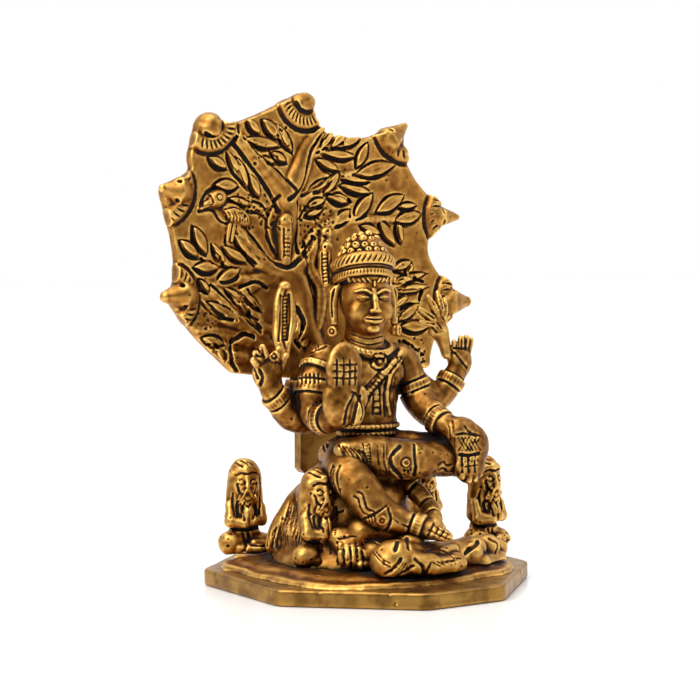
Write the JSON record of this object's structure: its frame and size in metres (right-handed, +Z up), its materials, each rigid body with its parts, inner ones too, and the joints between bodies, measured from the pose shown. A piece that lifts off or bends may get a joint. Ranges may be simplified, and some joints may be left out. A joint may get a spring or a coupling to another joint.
{
  "type": "cast brass statue",
  "caption": "Seated four-armed teacher figure on a rock, under a horned tree canopy, with a prone dwarf and seated sages on an eight-sided plinth.",
  "frame": {"origin": "on the surface it stands on, under the middle of the bounding box, which is the middle of the plinth", "axes": "+Z up; -Y is the front, the way the figure faces; +X to the right of someone looking at the front"},
  "size_m": [0.1176, 0.102, 0.152],
  "materials": {
    "antiqued_brass": "cast, blackened in the hollows and rubbed bright on the high points",
    "filed_brass": "cast, filed flat and satin"
  },
  "bodies": {
    "root": {"base_plate": "filed_brass", "ground_bed": "antiqued_brass", "rock_seat": "antiqued_brass", "torso": "antiqued_brass", "head": "antiqued_brass", "front_right_arm": "antiqued_brass", "rear_right_arm": "antiqued_brass", "front_left_arm": "antiqued_brass", "rear_left_arm": "antiqued_brass", "serpent_loop": "antiqued_brass", "flame": "antiqued_brass", "crossed_leg": "antiqued_brass", "lowered_leg": "antiqued_brass", "sash_end": "antiqued_brass", "dwarf": "antiqued_brass", "sage_rear_left": "antiqued_brass", "sage_front_left": "antiqued_brass", "sage_rear_right": "antiqued_brass", "sage_front_right": "antiqued_brass", "tree_canopy": "antiqued_brass", "canopy_strap": "filed_brass", "back_lug": "filed_brass", "strap_rivets": "filed_brass"}
  },
  "joints": []
}
